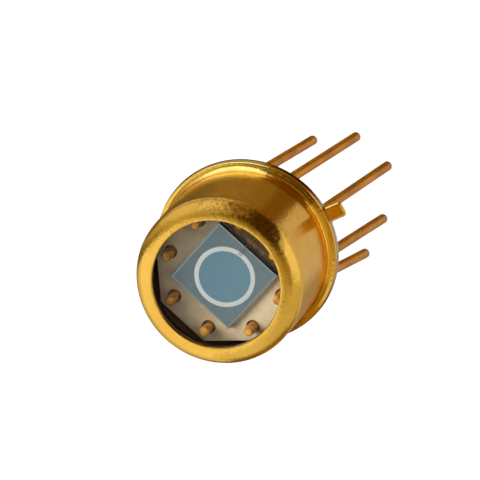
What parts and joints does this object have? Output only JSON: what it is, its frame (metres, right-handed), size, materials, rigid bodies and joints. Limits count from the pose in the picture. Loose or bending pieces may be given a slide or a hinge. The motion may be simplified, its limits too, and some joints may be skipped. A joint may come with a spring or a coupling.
{
  "type": "photodetector",
  "caption": "Round gold-plated metal can with a glass window over a square photodiode, and leads and an index tab behind its flange, for soldering into a board.",
  "frame": {"origin": "centre of the seating plane, on the can's axis under the header's flange", "axes": "+Z along the can's axis towards the window, +X towards the index tab, leads run down from the seating plane"},
  "size_m": [0.01, 0.0094, 0.0187],
  "materials": {
    "gold_plated_can": "gold plate on drawn sheet, smooth with faint drawing marks",
    "gold_plated_lead": "gold plate on drawn wire",
    "clear_glass": "polished flat window",
    "seal_glass": "dark fused sealing glass",
    "alumina": "as-fired white ceramic",
    "silicon": "polished chip with a blue-grey coating",
    "contact_film": "bright evaporated metal film",
    "gold_film": "fired gold film and fine gold wire",
    "solder": "satin solder"
  },
  "bodies": {
    "root": {"header": "gold_plated_can", "seal_glass": "seal_glass", "lead_1": "gold_plated_lead", "lead_2": "gold_plated_lead", "lead_3": "gold_plated_lead", "lead_4": "gold_plated_lead", "lead_5": "gold_plated_lead", "lead_6": "gold_plated_lead", "lead_7": "gold_plated_lead", "lead_8": "gold_plated_lead", "cap": "gold_plated_can", "window": "clear_glass", "window_seal": "seal_glass", "circuit_substrate": "alumina", "circuit_traces": "gold_film", "circuit_solder": "solder", "amplifier_die": "silicon", "amplifier_wires": "gold_film", "standoff_1": "alumina", "standoff_2": "alumina", "standoff_3": "alumina", "standoff_4": "alumina", "detector_substrate": "alumina", "detector_traces": "gold_film", "detector_solder": "solder", "die_attach": "solder", "photodiode_die": "silicon", "contact_metal": "contact_film", "bond_wire_1": "gold_film", "bond_wire_2": "gold_film"}
  },
  "joints": []
}
